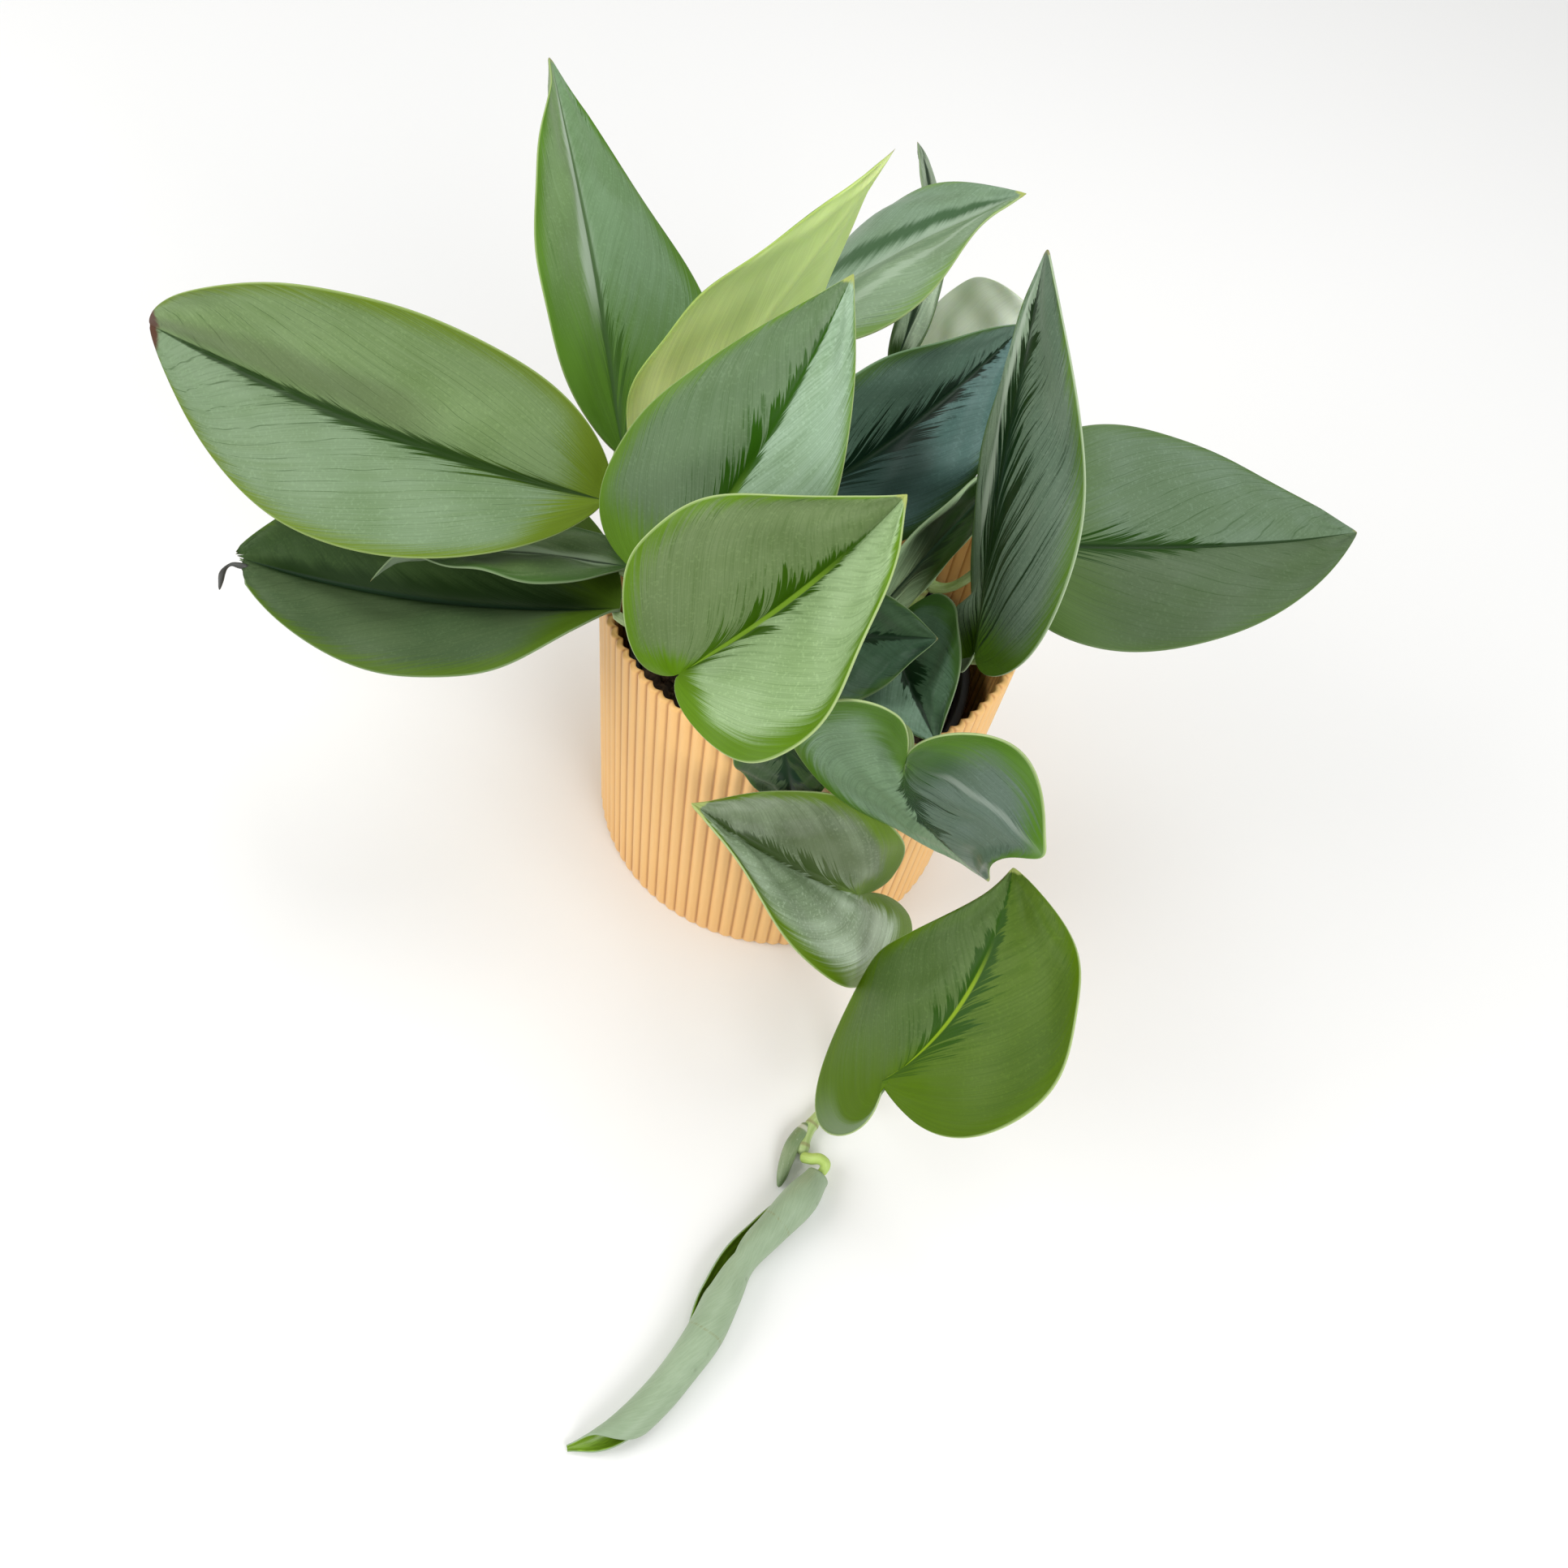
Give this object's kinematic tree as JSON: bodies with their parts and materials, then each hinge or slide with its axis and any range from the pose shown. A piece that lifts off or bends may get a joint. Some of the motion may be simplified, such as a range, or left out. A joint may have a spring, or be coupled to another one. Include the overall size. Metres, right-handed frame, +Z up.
{
  "type": "potted scindapsus",
  "caption": "House plant with broad heart-shaped leaves on upright shoots and one vine trailing over the rim of a ribbed round pot, with its rolled newest leaf on the surface.",
  "frame": {"origin": "centre of the pot's flat underside, on the surface that the pot stands on", "axes": "+Z up along the pot's axis; the vine trails over the rim towards -Y, and +X is to the right when looking along +Y"},
  "size_m": [0.3893, 0.4137, 0.2581],
  "materials": {
    "cachepot_plastic": "satin apricot plastic, moulded ribs",
    "nursery_plastic": "thin black plastic",
    "soil": "dark crumbly potting mix, at wood's density",
    "stem_green": "smooth pale green stem, at leather's density",
    "petiole_green": "smooth pale green leaf stalk",
    "sheath_pale": "thin pale green sheath",
    "leaf_mid": "waxy mid green leaf with fine veins and a pale thin edge",
    "leaf_silver": "waxy green leaf with a silvery sheen and a dark midrib band",
    "leaf_dark": "waxy dark blue-green leaf with a silver sheen",
    "leaf_young": "soft pale lime leaf",
    "leaf_rolled": "matt pale grey-green rolled leaf, dark green inside"
  },
  "bodies": {
    "root": {"cachepot": "cachepot_plastic", "leaf_back": "leaf_silver", "leaf_back_curled": "leaf_mid", "leaf_back_right": "leaf_silver", "leaf_centre": "leaf_silver", "leaf_dark_centre": "leaf_dark", "leaf_dark_low": "leaf_dark", "leaf_front_heart": "leaf_silver", "leaf_left_large": "leaf_mid", "leaf_left_low": "leaf_dark", "leaf_left_small": "leaf_mid", "leaf_pale_young": "leaf_young", "leaf_right_large": "leaf_mid", "leaf_rim_heart": "leaf_dark", "leaf_rim_left_heart": "leaf_silver", "leaf_rolled_new": "leaf_rolled", "leaf_small_front": "leaf_dark", "leaf_small_right": "leaf_dark", "leaf_tall_left": "leaf_silver", "leaf_tall_right": "leaf_dark", "leaf_under_rim": "leaf_dark", "leaf_vine_heart": "leaf_mid", "nursery_pot": "nursery_plastic", "petiole_back": "petiole_green", "petiole_back_curled": "petiole_green", "petiole_back_right": "petiole_green", "petiole_centre": "petiole_green", "petiole_dark_centre": "petiole_green", "petiole_dark_low": "petiole_green", "petiole_front_heart": "petiole_green", "petiole_left_large": "petiole_green", "petiole_left_low": "petiole_green", "petiole_left_small": "petiole_green", "petiole_pale_young": "petiole_green", "petiole_right_large": "petiole_green", "petiole_rim_heart": "petiole_green", "petiole_rim_left_heart": "petiole_green", "petiole_rolled_new": "petiole_green", "petiole_small_front": "petiole_green", "petiole_small_right": "petiole_green", "petiole_tall_left": "petiole_green", "petiole_tall_right": "petiole_green", "petiole_under_rim": "petiole_green", "petiole_vine_heart": "petiole_green", "soil": "soil", "stem_back": "stem_green", "stem_centre": "stem_green", "stem_left": "stem_green", "stem_right": "stem_green", "stem_side": "stem_green", "stem_small": "stem_green", "stem_vine": "stem_green", "vine_sheath": "sheath_pale"}
  },
  "joints": []
}
